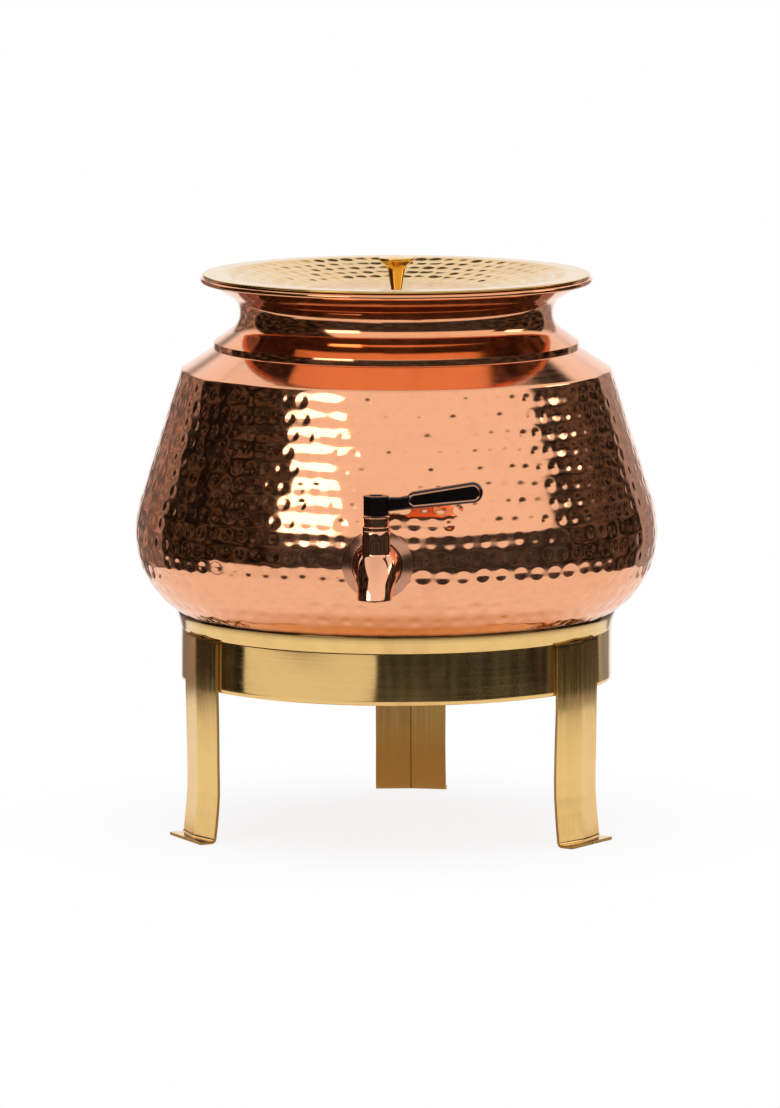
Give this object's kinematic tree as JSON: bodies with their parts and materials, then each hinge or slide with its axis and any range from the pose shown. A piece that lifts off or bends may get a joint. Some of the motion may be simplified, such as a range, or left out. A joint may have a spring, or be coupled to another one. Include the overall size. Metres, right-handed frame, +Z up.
{
  "type": "water dispenser",
  "caption": "Round-bellied hammered copper water pot with a dished brass lid and turned knob, a quarter-turn lever tap, and a brass ring stand on creased strip legs.",
  "frame": {"origin": "on the floor, on the upright axis of the pot and the stand", "axes": "+Z up; the tap faces -Y; +X is to the right seen from the front"},
  "size_m": [0.24, 0.2693, 0.2636],
  "materials": {
    "copper": "polished, hammered below the shoulder",
    "brass": "brushed and lacquered",
    "knob_brass": "turned and polished",
    "copper_plate": "brass, copper plated and polished",
    "chrome": "polished",
    "rubber": "matt",
    "seat_plastic": "turned",
    "lever_plastic": "gloss black"
  },
  "bodies": {
    "stand": {"stand_band": "brass", "stand_seat_ring": "brass", "stand_leg_left": "brass", "stand_leg_right": "brass", "stand_leg_rear": "brass"},
    "pot": {"pot_body": "copper", "pot_neck": "copper", "tap_body": "copper_plate", "tap_shank": "chrome", "tap_rosette": "copper_plate", "tap_front_gasket": "rubber", "tap_rear_gasket": "rubber", "tap_back_washer": "chrome", "tap_lock_nut": "chrome", "tap_bonnet": "copper_plate", "tap_inlet_seat": "seat_plastic", "tap_outlet_seat": "seat_plastic", "tap_stem_oring": "rubber"},
    "lever": {"tap_lever": "lever_plastic", "tap_lever_trim": "copper_plate", "tap_lever_screw": "chrome", "tap_stem": "chrome", "tap_ball": "chrome"},
    "lid": {"lid_plate": "brass", "lid_knob": "knob_brass", "lid_knob_washer": "brass", "lid_knob_nut": "brass"}
  },
  "joints": [
    {"name": "pot_lift", "type": "slide", "parent": "stand", "child": "pot", "axis": [0, 0, 1], "range_m": [0, 0.12]},
    {"name": "lid_lift", "type": "slide", "parent": "pot", "child": "lid", "axis": [0, 0, 1], "range_m": [0, 0.1]},
    {"name": "tap_turn", "type": "hinge", "parent": "pot", "child": "lever", "pos_m": [0, -0.1315, 0.13644], "axis": [0, 0, -1], "range_deg": [0, 90]}
  ]
}
